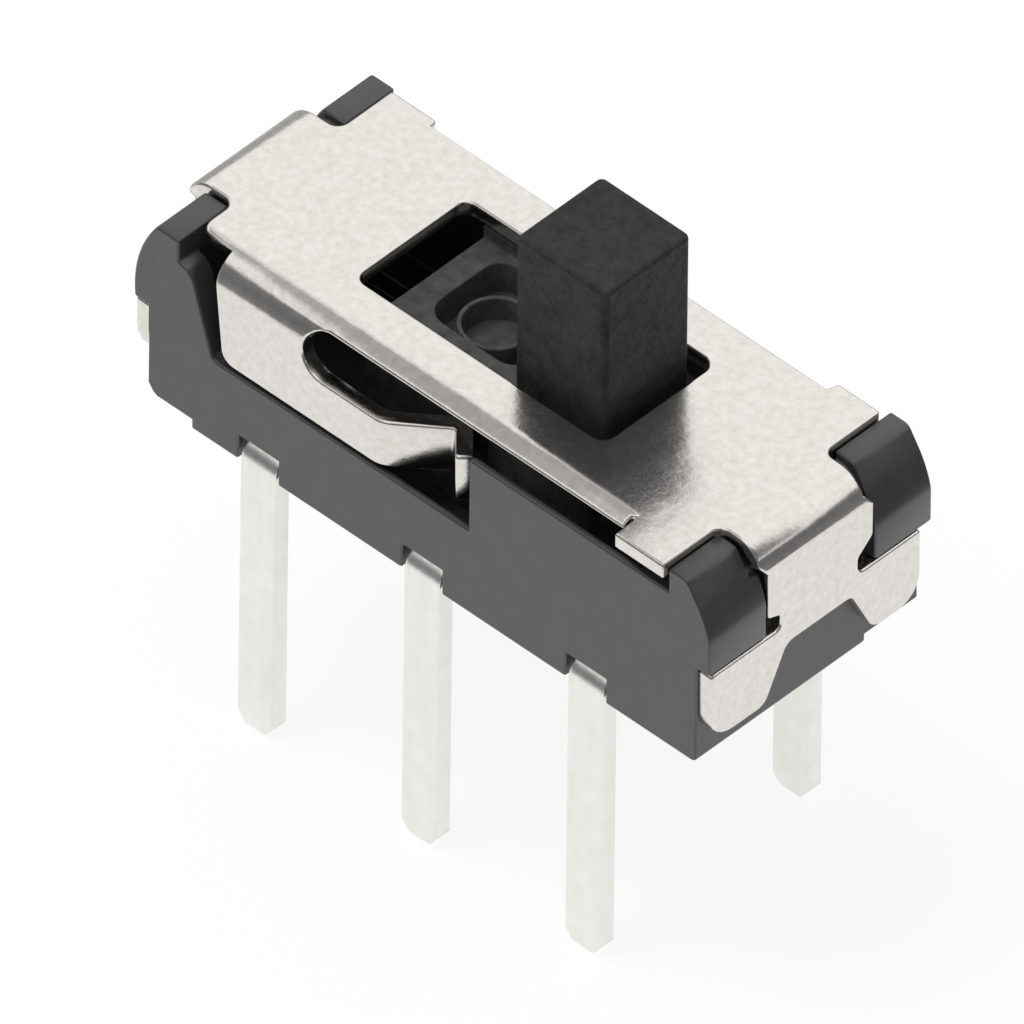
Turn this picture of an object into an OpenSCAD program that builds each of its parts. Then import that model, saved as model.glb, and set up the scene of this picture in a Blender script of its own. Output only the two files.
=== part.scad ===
// Miniature two-pole slide switch for mounting through a circuit board.
// Millimetres. X runs along the switch and along the knob's travel, Y across it, Z up.
// The origin is the middle of the base's underside, which is the board's top face.
// Drawn with the knob at the +X end of its travel.

/* [Overall size] */
// Length of the moulded base between its two end faces
base_len = 8.5; // [7:0.05:10.4]
// Width of the moulded base
base_w = 3.6; // [3:0.05:4.4]
// Height of the cover's top face above the board
body_h = 2.8; // [2.3:0.05:3.4]

/* [Knob and travel] */
// Knob size along the travel
knob_len = 1.4; // [1:0.05:1.7]
// Knob size across the travel
knob_w = 1.4; // [1:0.05:1.7]
// Height of the knob above the cover's top face
knob_h = 2.0; // [0.8:0.05:4]
// Distance the knob slides between its two positions
knob_travel = 2.08; // [1.7:0.02:2.5]
// Flat cut along the knob's edges
knob_edge = 0.06; // [0.02:0.01:0.15]
// Clear space left between the knob and the end of the window
window_end_gap = 0.19; // [0.08:0.01:0.4]
// Clear space left between the knob and each side of the window
window_side_gap = 0.2; // [0.06:0.01:0.35]
// Corner radius of the window
window_r = 0.16; // [0.05:0.01:0.3]

/* [Pins] */
// Spacing of the pins along each row
pin_pitch = 2.54; // [2:0.01:3]
// Width of each pin, along the row
pin_w = 0.55; // [0.35:0.01:0.66]
// Thickness of the terminal sheet
pin_t = 0.25; // [0.15:0.01:0.35]
// Length of the near row of pins below the base
pin_len = 4.0; // [2:0.05:6]
// How much shorter the far row of pins is cut
far_row_trim = 0.14; // [0:0.01:0.4]
// Height of the tapered tip of each pin
pin_tip = 0.2; // [0.05:0.01:0.4]
// Outer radius of the bend between the leg and the pin
pin_bend_r = 0.29; // [0.26:0.01:0.34]
// Width of the contact pad inside the switch
pad_w = 1.0; // [0.8:0.02:1.2]
// Gap kept around each leg in its notch under the side wall
notch_gap = 0.035; // [0.01:0.005:0.08]
// Distance from the middle line to the contact pads' inner edge
pad_in = 0.3; // [0.2:0.01:0.42]
// Distance from the middle line to the contact pads' outer edge
pad_out = 1.0; // [0.9:0.01:1.2]

/* [Base] */
// Thickness of the base's floor
floor_t = 0.33; // [0.28:0.01:0.5]
// Thickness of the base's side walls
side_wall = 0.32; // [0.24:0.01:0.4]
// Thickness of the base's end walls, and length of the corner posts
end_wall = 0.45; // [0.35:0.01:0.6]
// How far the right-hand corner posts stop below the cover's top face
post_drop = 0.14; // [0.04:0.01:0.19]
// How far the left-hand corner posts stop below the cover's top face
left_post_drop = 0.08; // [0.04:0.01:0.19]
// Radius of the right-hand corner posts' rounded outer face
post_r = 1.21; // [1.12:0.01:1.5]
// Radius of the left-hand corner posts' rounded outer face
left_post_r = 1.85; // [1.5:0.01:2.2]
// How far the corner posts' rounding stands out past the base's end faces
post_bulge = 0.23; // [0.21:0.01:0.3]
// How much narrower the far left post is on its outer side
left_far_trim = 0.1; // [0:0.01:0.2]
// Distance from the cover's top face down to the posts' undersides
post_under = 1.35; // [1.2:0.01:1.5]
// Distance from the cover's top face down to the low part of the near wall
low_wall_drop = 1.55; // [1.51:0.01:1.6]
// Distance from the cover's top face down to the high walls
high_wall_drop = 0.46; // [0.3:0.01:0.6]
// Place along the switch where the near wall steps up
wall_step_x = 0.71; // [0.6:0.01:1]
// Height of the cut-outs under two of the base's corners
corner_lift = 0.13; // [0.03:0.01:0.2]
// Length of those cut-outs along the base
corner_lift_len = 0.68; // [0.4:0.01:1]
// Flat cut along the bottom edges of the base's end faces
base_bevel = 0.07; // [0.02:0.01:0.12]
// Flat cut along the top edges of the end walls, inside the cover's bends
top_bevel = 0.16; // [0.12:0.01:0.25]
// Height of the slider's guide rails above the floor
rail_h = 0.28; // [0.2:0.01:0.4]
// How far the near wall leans back beside the side flap
wall_lean = 0.31; // [0.2:0.01:0.4]

/* [Cover] */
// Thickness of the cover's steel sheet
sheet_t = 0.2; // [0.12:0.01:0.24]
// Outer radius of the cover's bends
bend_r = 0.3; // [0.25:0.01:0.36]
// Gap between the cover and the corner posts, across the switch
post_gap = 0.03; // [0.01:0.01:0.1]
// Gap between the plate and the corner posts, along the switch
plate_gap = 0.06; // [0.02:0.01:0.12]
// Distance from the corner posts to the side flap
flap_start = 0.56; // [0.4:0.01:0.8]
// Edge of the plate's neck between the posts, near side, measured from the middle
neck_near = 0.96; // [0.8:0.01:1]
// Edge of the plate's neck between the posts, far side, measured from the middle
neck_far = 0.72; // [0.6:0.01:0.84]
// Edge of the end tongues between the posts, near side, measured from the middle
tongue_near = 0.84; // [0.75:0.01:0.94]
// Edge of the end tongues between the posts, far side, measured from the middle
tongue_far = 0.86; // [0.75:0.01:0.94]
// How much further out the left tongue stands
left_out = 0.03; // [0:0.01:0.06]
// How far the side flap's outer face stands inside the base's side face
flap_inset = 0.01; // [0:0.005:0.05]
// Length of each end tongue's lobe edge, near side, measured from the middle
lobe_near = 1.76; // [1.5:0.01:1.8]
// Length of each end tongue's lobe edge, far side, measured from the middle
lobe_far = 1.63; // [1.5:0.01:1.8]
// Distance from the cover's top face down to the lobes' lower edges
lobe_drop = 2.4; // [2.1:0.01:2.5]
// Height of the wide notch between the two lobes of a tongue
lobe_notch = 0.72; // [0.5:0.01:0.9]
// Corner radius of the right tongue's lobes
lobe_r = 0.36; // [0.2:0.01:0.5]
// Corner radius of the left tongue's lobes
left_lobe_r = 0.62; // [0.3:0.01:0.7]
// How far the near tab stands out past the plate's cut edge
tab_near = 0.39; // [0.1:0.01:0.5]
// How far the two far tabs stand out past the plate's cut edge
tab_far = 0.1; // [0.04:0.01:0.25]
// Length of the tabs along the switch
tab_len = 0.7; // [0.4:0.01:1]

/* [Detent spring arm] */
// Height of the spring arm
arm_h = 0.69; // [0.5:0.01:0.72]
// Distance from the cover's top face down to the arm's lower edge
arm_drop = 1.49; // [1.46:0.01:1.5]
// Place along the switch where the arm turns inward
arm_bend_x = -0.7; // [-0.9:0.01:-0.5]
// Radius of the bend where the arm turns inward, on the middle of the sheet
arm_bend_r = 0.3; // [0.2:0.01:0.4]
// Angle at which the arm turns inward
arm_in_angle = 38; // [25:1:45]
// Angle at which the arm's tail comes back out
arm_out_angle = 47; // [30:1:60]
// Radius of the arm's nose, on the middle of the sheet
arm_nose_r = 0.16; // [0.13:0.01:0.22]
// How far inward the nose reaches, on the middle of the sheet
arm_reach = 0.5; // [0.4:0.01:0.52]
// Length of the arm's tail
arm_tail = 0.41; // [0.25:0.01:0.5]
// Width of the slot above the arm
slot_w = 0.71; // [0.5:0.01:0.72]
// Place along the switch of the slot's closed end
slot_x = -1.9; // [-2.1:0.01:-1.7]

/* [Slider] */
// Width of the slider's body
slider_w = 2.04; // [1.9:0.01:2.06]
// Distance from the cover's top face down to the slider's upper face
slider_drop = 0.42; // [0.36:0.01:0.5]
// Running gap kept around the slider
slide_gap = 0.04; // [0.02:0.005:0.08]
// Gap kept between the slider and each end wall
slider_end_gap = 0.06; // [0.03:0.01:0.15]
// Gap kept between the slider and the floor
slider_lift = 0.07; // [0.04:0.01:0.12]
// Depth of the two detent notches in the slider's side
notch_depth = 0.15; // [0.05:0.01:0.2]
// Radius of the round recess beside the knob
dimple_r = 0.39; // [0.25:0.01:0.42]
// Depth of the round recess
dimple_depth = 0.33; // [0.1:0.01:0.4]
// Distance from the knob's middle to the round recess
dimple_x = 1.63; // [1.4:0.01:1.75]
// Width of the ring left standing around the round recess
ring_w = 0.06; // [0.04:0.01:0.1]
// Length of the groove around the ring
groove_len = 1.42; // [1.2:0.01:1.5]
// Width of the groove around the ring
groove_w = 1.24; // [1:0.01:1.3]
// Corner radius of the groove
groove_r = 0.28; // [0.1:0.01:0.4]
// How far the groove's middle lies from the ring's, across the switch
groove_shift = 0.2; // [0.1:0.01:0.22]
// Depth of the groove
groove_depth = 0.45; // [0.2:0.01:0.6]
// Radius of the two detent notches
detent_r = 0.3; // [0.28:0.01:0.4]

/* [Moving contacts] */
// Thickness of the contact springs' sheet
contact_t = 0.08; // [0.05:0.01:0.12]
// Width of each contact spring
contact_w = 0.4; // [0.25:0.01:0.46]
// Radius of the rolled feet
foot_r = 0.09; // [0.06:0.01:0.12]
// Distance from the middle line to each contact spring
pocket_y = 0.65; // [0.55:0.01:0.75]
// Height of the pocket that holds each contact spring
pocket_h = 0.55; // [0.4:0.01:0.65]
// Gap kept between a contact spring and what it bears on
touch_gap = 0.005; // [0:0.005:0.02]

/* [Hidden] */
$fn = 48;
half_len = base_len / 2;
half_w = base_w / 2;
rest_x = knob_travel / 2;
window_len = knob_travel + knob_len + 2 * window_end_gap;
window_w = knob_w + 2 * window_side_gap;
plate_under = body_h - sheet_t;
post_x = half_len - end_wall;
post_near_y = neck_near + post_gap;
post_far_y = tongue_far + post_gap;
post_low = body_h - post_under;
post_step = body_h - bend_r - 0.17;
lift_y = 0.95;
low_wall = body_h - low_wall_drop;
high_wall = body_h - high_wall_drop;
cavity_w = half_w - side_wall;
slider_half = post_x - knob_travel / 2 - slider_end_gap;
slider_y = slider_w / 2;
slider_top = body_h - slider_drop;
slider_low = floor_t + slider_lift;
rail_top = floor_t + rail_h;
rail_y = slider_y + slide_gap;
cover_half = half_len + sheet_t;
notch_x = post_x - plate_gap;
flap_face = half_w - flap_inset;
cut_y = flap_face - bend_r;
flap_x = post_x - flap_start;
arm_low = body_h - arm_drop;
arm_top = arm_low + arm_h;
slot_r = slot_w / 2;
slot_z = arm_top + slot_r;
lobe_low = body_h - lobe_drop;
lobe_top = post_low - 0.03;
pin_face = half_w;
leg_low = floor_t - pin_t;
pocket_roof = slider_low + pocket_h;
foot_x = pin_pitch / 2;
foot_z = floor_t + foot_r + touch_gap;
contact_mid = pocket_roof - touch_gap - contact_t / 2;
contact_rise = contact_mid - foot_z;
contact_r = (foot_x * foot_x + contact_rise * contact_rise) / (2 * contact_rise);
contact_angle = asin(foot_x / contact_r);

// Points along a circular arc.
function arc_points(cx, cy, r, a0, a1, n) =
    [for (i = [0:n]) [cx + r * cos(a0 + (a1 - a0) * i / n), cy + r * sin(a0 + (a1 - a0) * i / n)]];

// Box given by its low and high corners.
module block(low, high) {
    translate(low) cube([high[0] - low[0], high[1] - low[1], high[2] - low[2]]);
}

// Outline drawn in X and Z, given a thickness from y0 to y1.
module side_sheet(y0, y1) {
    translate([0, y1, 0]) rotate([90, 0, 0]) linear_extrude(y1 - y0) children();
}

// Outline drawn in Y and Z, given a thickness from x0 to x1.
module end_sheet(x0, x1) {
    translate([x0, 0, 0]) rotate([90, 0, 90]) linear_extrude(x1 - x0) children();
}

// Rectangle with rounded corners, centred.
module soft_rect(l, w, r) {
    square([l - 2 * r, w], center = true);
    square([l, w - 2 * r], center = true);
    for (sx = [-1, 1], sy = [-1, 1]) translate([sx * (l / 2 - r), sy * (w / 2 - r)]) circle(r);
}

// Outline of a corner post's overhanging upper part, rounded outside.
module post_outline(top, r, reach) {
    intersection() {
        translate([post_x, post_low]) square([end_wall + reach, top - post_low]);
        translate([half_len + post_bulge - r, post_low + 0.2]) circle(r, $fn = 96);
    }
}

// Two corner posts at one end. The near one is wider below the plate's neck.
module post_pair(top, r, reach, trim) {
    side_sheet(-half_w, -post_near_y) post_outline(top, r, reach);
    side_sheet(-half_w, -tongue_near - post_gap) post_outline(post_step, r, reach);
    side_sheet(post_far_y, half_w - trim) post_outline(top, r, reach);
}

// Near side wall: low beside the spring arm, high to the right of it.
module near_wall_outline() {
    foot = flap_x + 0.02;
    shoulder = low_wall + 1.16;
    polygon([[-half_len, 0], [half_len, 0], [half_len, high_wall], [wall_step_x, high_wall],
             [wall_step_x, low_wall], [-foot, low_wall], [-foot - wall_lean, shoulder - 0.14],
             [-foot - wall_lean - 0.09, shoulder - 0.04], [-post_x, shoulder], [-half_len, shoulder]]);
}

// Room cut in the base for one terminal of the near row.
module terminal_room() {
    block([-pin_w / 2, -pin_face - 1, leg_low], [pin_w / 2, -pad_out + 0.1, floor_t]);
    block([-pad_w / 2, -pad_out, leg_low], [pad_w / 2, -pad_in, floor_t + 0.01]);
    block([-pin_w / 2 - notch_gap, -half_w - 1, -1],
          [pin_w / 2 + notch_gap, -pin_face + pin_bend_r + 0.04, floor_t + notch_gap]);
}

// Moulded base: tray, guide rails, walls and four overhanging corner posts.
module base_housing() {
    color([0.36, 0.36, 0.37])
    difference() {
        union() {
            block([-half_len, -half_w, 0], [half_len, half_w, floor_t]);
            for (s = [-1, 1]) {
                block([-post_x - 0.1, s > 0 ? rail_y : -cavity_w - 0.1, floor_t - 0.1],
                      [post_x + 0.1, s > 0 ? cavity_w + 0.1 : -rail_y, rail_top]);
                block([s > 0 ? post_x : -half_len, -post_near_y - 0.01, 0],
                      [s > 0 ? half_len : -post_x, post_far_y + 0.01, plate_under]);
                block([s > 0 ? post_x : -half_len, -half_w, 0],
                      [s > 0 ? half_len : -post_x, half_w, post_low + 0.05]);
            }
            side_sheet(-half_w, -cavity_w) near_wall_outline();
            block([-post_x - 0.1, cavity_w, 0], [post_x + 0.1, half_w, high_wall]);
            post_pair(body_h - post_drop, post_r, sheet_t, 0);
            mirror([1, 0, 0])
                post_pair(body_h - left_post_drop, left_post_r, sheet_t + left_out, left_far_trim);
        }
        for (i = [-1:1], s = [0, 1]) mirror([0, s, 0]) translate([i * pin_pitch, 0, 0]) terminal_room();
        // raised undersides at two opposite corners
        for (a = [0, 180]) rotate([0, 0, a])
            block([-half_len - 1, -half_w - 1, -1], [-half_len + corner_lift_len, -lift_y, corner_lift]);
        // bevels along the bottom and top edges of the end faces
        for (s = [0, 1]) mirror([s, 0, 0]) {
            side_sheet(-half_w - 1, half_w + 1)
                polygon([[half_len - base_bevel, -0.01], [half_len + 1, -0.01], [half_len + 1, base_bevel],
                         [half_len, base_bevel], [half_len - base_bevel, 0]]);
            side_sheet(-post_near_y, post_far_y)
                polygon([[half_len - top_bevel, plate_under + 0.01], [half_len - top_bevel, plate_under],
                         [half_len, plate_under - top_bevel], [half_len + 0.1, plate_under - top_bevel],
                         [half_len + 0.1, plate_under + 0.01]]);
        }
    }
}

// Outline of the cover's flat top, with its corner cut-outs and tabs.
module plate_outline() {
    r = 0.15;
    c = 0.04;
    xb = cover_half - bend_r;
    xl = xb + left_out;
    tx = notch_x - tab_len;
    tab_y = cut_y + tab_far;
    difference() {
        polygon(concat(
            [[-xl, -neck_near]], arc_points(-notch_x - r, -neck_near - r, r, 90, 0, 5),
            arc_points(-notch_x + r, -cut_y + r, r, 180, 270, 5),
            [[tx, -cut_y], [tx, -cut_y - tab_near], [notch_x, -cut_y - tab_near]],
            arc_points(notch_x + r, -neck_near - r, r, 180, 90, 5), [[xb, -neck_near], [xb, neck_far]],
            arc_points(notch_x + r, neck_far + r, r, 270, 180, 5),
            arc_points(notch_x - c, tab_y - c, c, 0, 90, 3),
            arc_points(tx + c, tab_y - c, c, 90, 180, 3), [[tx, cut_y], [-tx, cut_y]],
            arc_points(-tx - c, tab_y - c, c, 0, 90, 3),
            arc_points(-notch_x + c, tab_y - c, c, 90, 180, 3),
            arc_points(-notch_x - r, neck_far + r, r, 0, -90, 5), [[-xl, neck_far]]));
        soft_rect(window_len, window_w, window_r);
    }
}

// Outline of one end tongue: neck between the posts, two lobes hooked under them.
module tongue_outline(rn) {
    top = body_h - bend_r;
    step = lobe_low + lobe_notch;
    polygon(concat(
        [[-neck_near, top], [-neck_near + 0.02, top - 0.06], [-tongue_near, top - 0.14],
         [-tongue_near, lobe_top + 0.32], [-tongue_near + 0.14, lobe_top + 0.23]],
        arc_points(-tongue_near + 0.12, lobe_top + 0.1, 0.08, 30, -60, 4),
        [[-tongue_near + 0.06, lobe_top], [-lobe_near, lobe_top]],
        arc_points(-lobe_near + rn, lobe_low + rn, rn, 180, 270, 8),
        arc_points(-0.98, lobe_low + 0.2, 0.2, 270, 330, 4),
        [[-0.7, lobe_low + 0.42]], arc_points(-0.47, step - 0.16, 0.16, 160, 90, 4),
        arc_points(0.47, step - 0.16, 0.16, 90, 20, 4), [[0.7, lobe_low + 0.42]],
        arc_points(0.98, lobe_low + 0.2, 0.2, 210, 270, 4),
        arc_points(lobe_far - rn, lobe_low + rn, rn, 270, 360, 8),
        [[lobe_far, lobe_top], [tongue_far - 0.16, lobe_top]],
        arc_points(tongue_far - 0.14, lobe_top + 0.11, 0.11, 250, 130, 5),
        [[tongue_far - 0.06, lobe_top + 0.4], [tongue_far, lobe_top + 0.6],
         [tongue_far, top - 0.14], [neck_far + 0.02, top - 0.06], [neck_far, top]]));
}

// Outline of the side flap, up to where the spring arm turns inward.
module flap_outline() {
    top = body_h - bend_r;
    end_x = arm_bend_x - arm_bend_r * tan(arm_in_angle / 2);
    difference() {
        polygon(concat([[-flap_x, top], [-flap_x + 0.11, arm_low + 0.2]],
            arc_points(-flap_x + 0.29, arm_low + 0.18, 0.18, 190, 270, 5),
            [[end_x, arm_low], [end_x, arm_top], [slot_x + slot_r, top]]));
        slot_outline();
    }
}

// Slot between the arm and the plate.
module slot_outline() {
    translate([slot_x + slot_r, slot_z]) circle(slot_r);
    translate([slot_x + slot_r, arm_top]) square([base_len, slot_w]);
}

// Spring arm seen from above: inward leg, round nose and outward tail.
module arm_outline() {
    h = sheet_t / 2;
    mid = -flap_face + h;
    b = arm_bend_r;
    t = b * tan(arm_in_angle / 2);
    a = arm_in_angle;
    c = arm_out_angle;
    nose_y = mid + arm_reach;
    run = (arm_reach - arm_nose_r * (1 - cos(a))) / sin(a);
    nose_x = arm_bend_x + run * cos(a) + arm_nose_r * sin(a);
    cy = nose_y - arm_nose_r;
    tx = cos(c) * arm_tail;
    ty = -sin(c) * arm_tail;
    polygon(concat(
        arc_points(arm_bend_x - t, mid + b, b + h, 270, 270 + a, 6),
        arc_points(nose_x, cy, arm_nose_r - h, 90 + a, 90 - c, 6),
        [[nose_x + (arm_nose_r - h) * sin(c) + tx, cy + (arm_nose_r - h) * cos(c) + ty],
         [nose_x + (arm_nose_r + h) * sin(c) + tx, cy + (arm_nose_r + h) * cos(c) + ty]],
        arc_points(nose_x, cy, arm_nose_r + h, 90 - c, 90 + a, 10),
        arc_points(arm_bend_x - t, mid + b, b - h, 270 + a, 270, 6)));
}

// Quarter of a ring in section: the sheet as it turns down from the plate.
module bend_outline(cx) {
    intersection() {
        difference() {
            translate([cx, body_h - bend_r]) circle(bend_r);
            translate([cx, body_h - bend_r]) circle(bend_r - sheet_t);
        }
        translate([cx, body_h - bend_r]) square([bend_r, bend_r]);
    }
}

// One end of the cover: the bend and the tongue below it, out by a little more on the left.
module cover_end(out, rn) {
    side_sheet(-neck_near, neck_far) bend_outline(out - bend_r);
    end_sheet(out - sheet_t, out) tongue_outline(rn);
}

// Stamped steel cover: top plate, two hooked end tongues, side flap with its spring arm.
module steel_cover() {
    color([0.84, 0.83, 0.8])
    union() {
        translate([0, 0, plate_under]) linear_extrude(sheet_t) plate_outline();
        cover_end(cover_half, lobe_r);
        mirror([1, 0, 0]) cover_end(cover_half + left_out, left_lobe_r);
        side_sheet(-flap_face, -flap_face + sheet_t) flap_outline();
        // the near bend, cut off along the top of the slot
        difference() {
            mirror([0, 1, 0]) end_sheet(-flap_x, notch_x - tab_len) bend_outline(cut_y);
            side_sheet(-half_w - 1, -cut_y) slot_outline();
        }
        translate([0, 0, arm_low]) linear_extrude(arm_h) arm_outline();
    }
}

// Knob with its edges cut back.
module knob() {
    e = knob_edge;
    top = body_h + knob_h;
    block([-knob_len / 2 + e, -knob_w / 2, slider_top - 0.1], [knob_len / 2 - e, knob_w / 2, top - e]);
    block([-knob_len / 2, -knob_w / 2 + e, slider_top - 0.1], [knob_len / 2, knob_w / 2 - e, top - e]);
    block([-knob_len / 2 + e, -knob_w / 2 + e, slider_top - 0.1], [knob_len / 2 - e, knob_w / 2 - e, top]);
}

// Slider: body between the rails, knob, detent notches, recess and contact pockets.
module slider_knob() {
    color([0.17, 0.17, 0.175])
    translate([rest_x, 0, 0])
    difference() {
        union() {
            block([-slider_half, -slider_y, slider_low], [slider_half, slider_y, slider_top]);
            for (s = [-1, 1])
                block([-slider_half, s > 0 ? window_w / 2 : -slider_y, slider_top - 0.1],
                      [slider_half, s > 0 ? slider_y : -window_w / 2, plate_under - slide_gap]);
            knob();
        }
        // two notches that the spring arm's nose drops into
        for (s = [-1, 1]) translate([s * knob_travel / 2, notch_depth - slider_y - detent_r, arm_low - 0.06])
            cylinder(r = detent_r, h = arm_h + 0.12);
        // curved groove around the round recess
        translate([-dimple_x, 0, slider_top - groove_depth]) linear_extrude(1) difference() {
            translate([0, groove_shift]) soft_rect(groove_len, groove_w, groove_r);
            circle(dimple_r + ring_w);
        }
        translate([-dimple_x, 0, slider_top - dimple_depth]) cylinder(r = dimple_r, h = 1);
        // pockets for the two contact springs
        for (s = [-1, 1]) translate([0, s * pocket_y, slider_low])
            block([-foot_x - foot_r - 0.1, -contact_w / 2 - 0.03, -1],
                  [foot_x + foot_r + 0.1, contact_w / 2 + 0.03, pocket_h]);
    }
}

// One terminal of the near row: pad in the floor, leg under the wall, bend and pin.
module terminal(length) {
    tip = pin_tip;
    intersection() {
        union() {
            block([-pin_w / 2, -pin_face + pin_bend_r, leg_low], [pin_w / 2, -pad_out + 0.1, floor_t]);
            block([-pad_w / 2, -pad_out, leg_low], [pad_w / 2, -pad_in, floor_t]);
            end_sheet(-pin_w / 2, pin_w / 2) intersection() {
                difference() {
                    translate([-pin_face + pin_bend_r, floor_t - pin_bend_r]) circle(pin_bend_r);
                    translate([-pin_face + pin_bend_r, floor_t - pin_bend_r]) circle(pin_bend_r - pin_t);
                }
                translate([-pin_face, floor_t - pin_bend_r]) square([pin_bend_r, pin_bend_r]);
            }
            block([-pin_w / 2, -pin_face, -length], [pin_w / 2, -pin_face + pin_t, floor_t - pin_bend_r]);
        }
        side_sheet(-half_w - 1, 0) polygon(concat(
            [[-pad_w, 1], [-pad_w, -0.3], [-pin_w / 2, -0.3], [-pin_w / 2, -length + tip]],
            [[-pin_w / 2 + 0.09, -length + 0.06], [-pin_w / 2 + 0.16, -length]],
            [[pin_w / 2 - 0.16, -length], [pin_w / 2 - 0.09, -length + 0.06]],
            [[pin_w / 2, -length + tip], [pin_w / 2, -0.3], [pad_w, -0.3], [pad_w, 1]]));
    }
}

// A terminal placed in its row: s is -1 for the near row and 1 for the far row.
module pin_at(i, s) {
    color([0.88, 0.87, 0.83])
    translate([i * pin_pitch, 0, 0]) mirror([0, s > 0 ? 1 : 0, 0])
        terminal(s > 0 ? pin_len - far_row_trim : pin_len);
}

module pin_near_left() { pin_at(-1, -1); }
module pin_near_middle() { pin_at(0, -1); }
module pin_near_right() { pin_at(1, -1); }
module pin_far_left() { pin_at(-1, 1); }
module pin_far_middle() { pin_at(0, 1); }
module pin_far_right() { pin_at(1, 1); }

// Bowed contact spring: joins the middle pad to one side pad.
module contact_spring(s) {
    color([0.78, 0.7, 0.52])
    translate([rest_x, 0, 0])
    side_sheet(s * pocket_y - contact_w / 2, s * pocket_y + contact_w / 2) {
        intersection() {
            translate([0, contact_mid - contact_r]) difference() {
                circle(contact_r + contact_t / 2, $fn = 128);
                circle(contact_r - contact_t / 2, $fn = 128);
            }
            polygon([[0, contact_mid - contact_r], [-3 * sin(contact_angle), contact_mid - contact_r
                      + 3 * cos(contact_angle)], [0, 4], [3 * sin(contact_angle),
                      contact_mid - contact_r + 3 * cos(contact_angle)]]);
        }
        for (d = [-1, 1]) translate([d * foot_x, foot_z]) circle(foot_r);
    }
}

module contact_near() { contact_spring(-1); }
module contact_far() { contact_spring(1); }

base_housing();
steel_cover();
slider_knob();
pin_near_left();
pin_near_middle();
pin_near_right();
pin_far_left();
pin_far_middle();
pin_far_right();
contact_near();
contact_far();
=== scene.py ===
# %% [markdown]
# # A slide switch in its finishes
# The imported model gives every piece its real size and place. This lesson gives the pieces their
# looks: a folded steel cover, a moulded base, a slider with its knob, six pins and two hidden
# contact springs. Lengths are worked out in millimetres and turned into metres at the very end.

# %% Load the model
from math import cos, radians, sin

import bmesh
import bpy
import numpy as np
from mathutils import Matrix, Vector
from mathutils.geometry import delaunay_2d_cdt


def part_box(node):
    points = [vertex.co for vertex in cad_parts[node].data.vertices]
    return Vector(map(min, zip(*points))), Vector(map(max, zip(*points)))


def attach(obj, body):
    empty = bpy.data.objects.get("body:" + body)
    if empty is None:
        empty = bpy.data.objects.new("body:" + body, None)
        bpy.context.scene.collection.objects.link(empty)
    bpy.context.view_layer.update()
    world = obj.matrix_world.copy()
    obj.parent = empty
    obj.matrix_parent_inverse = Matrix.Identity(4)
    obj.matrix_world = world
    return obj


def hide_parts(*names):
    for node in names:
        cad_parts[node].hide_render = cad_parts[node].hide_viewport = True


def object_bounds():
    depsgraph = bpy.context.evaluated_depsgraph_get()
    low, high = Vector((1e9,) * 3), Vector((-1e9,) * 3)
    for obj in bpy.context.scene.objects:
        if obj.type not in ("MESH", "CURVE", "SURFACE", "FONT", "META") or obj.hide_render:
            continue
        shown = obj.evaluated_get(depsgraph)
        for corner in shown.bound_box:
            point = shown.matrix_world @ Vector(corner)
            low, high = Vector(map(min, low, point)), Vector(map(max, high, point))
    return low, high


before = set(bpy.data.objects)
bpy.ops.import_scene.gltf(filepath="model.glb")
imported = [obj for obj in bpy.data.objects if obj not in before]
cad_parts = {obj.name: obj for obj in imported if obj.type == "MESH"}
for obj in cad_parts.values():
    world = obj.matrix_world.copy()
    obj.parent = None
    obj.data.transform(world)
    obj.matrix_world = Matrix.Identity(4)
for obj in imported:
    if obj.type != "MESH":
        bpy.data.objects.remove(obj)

MM = 0.001
cad_low, cad_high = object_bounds()
print("model box in mm:", (np.subtract(cad_high, cad_low) / MM).round(2))


# %% [markdown]
# ## Outlines
# Nearly every face of a switch is flat, and the punch or the mould rounds only its corners. So
# each shape starts as an outline drawn in two directions. It could be drawn by hand as a curve,
# but a few corner points and a radius each say more, and they follow the model's sizes.

# %% Arcs, circles and rectangles
def arc(cx, cy, r, start, end, steps):
    """Points at equal angles from start to end, in degrees, at distance r from the centre."""
    a = np.radians(np.linspace(start, end, steps))
    return np.column_stack([cx + r * np.cos(a), cy + r * np.sin(a)])


def circle(cx, cy, r, steps):
    """One full turn of evenly spaced points, without the first one repeated."""
    return arc(cx, cy, r, 0, 360 - 360 / steps, steps)


def rect(x0, x1, y0, y1):
    """The four corners of a rectangle, anticlockwise."""
    return np.array([[x0, y0], [x1, y0], [x1, y1], [x0, y1]], float)


print(len(circle(0, 0, 1, 36)), "points round a circle")

# %% Rounded corners
same_place = 1e-4


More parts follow.
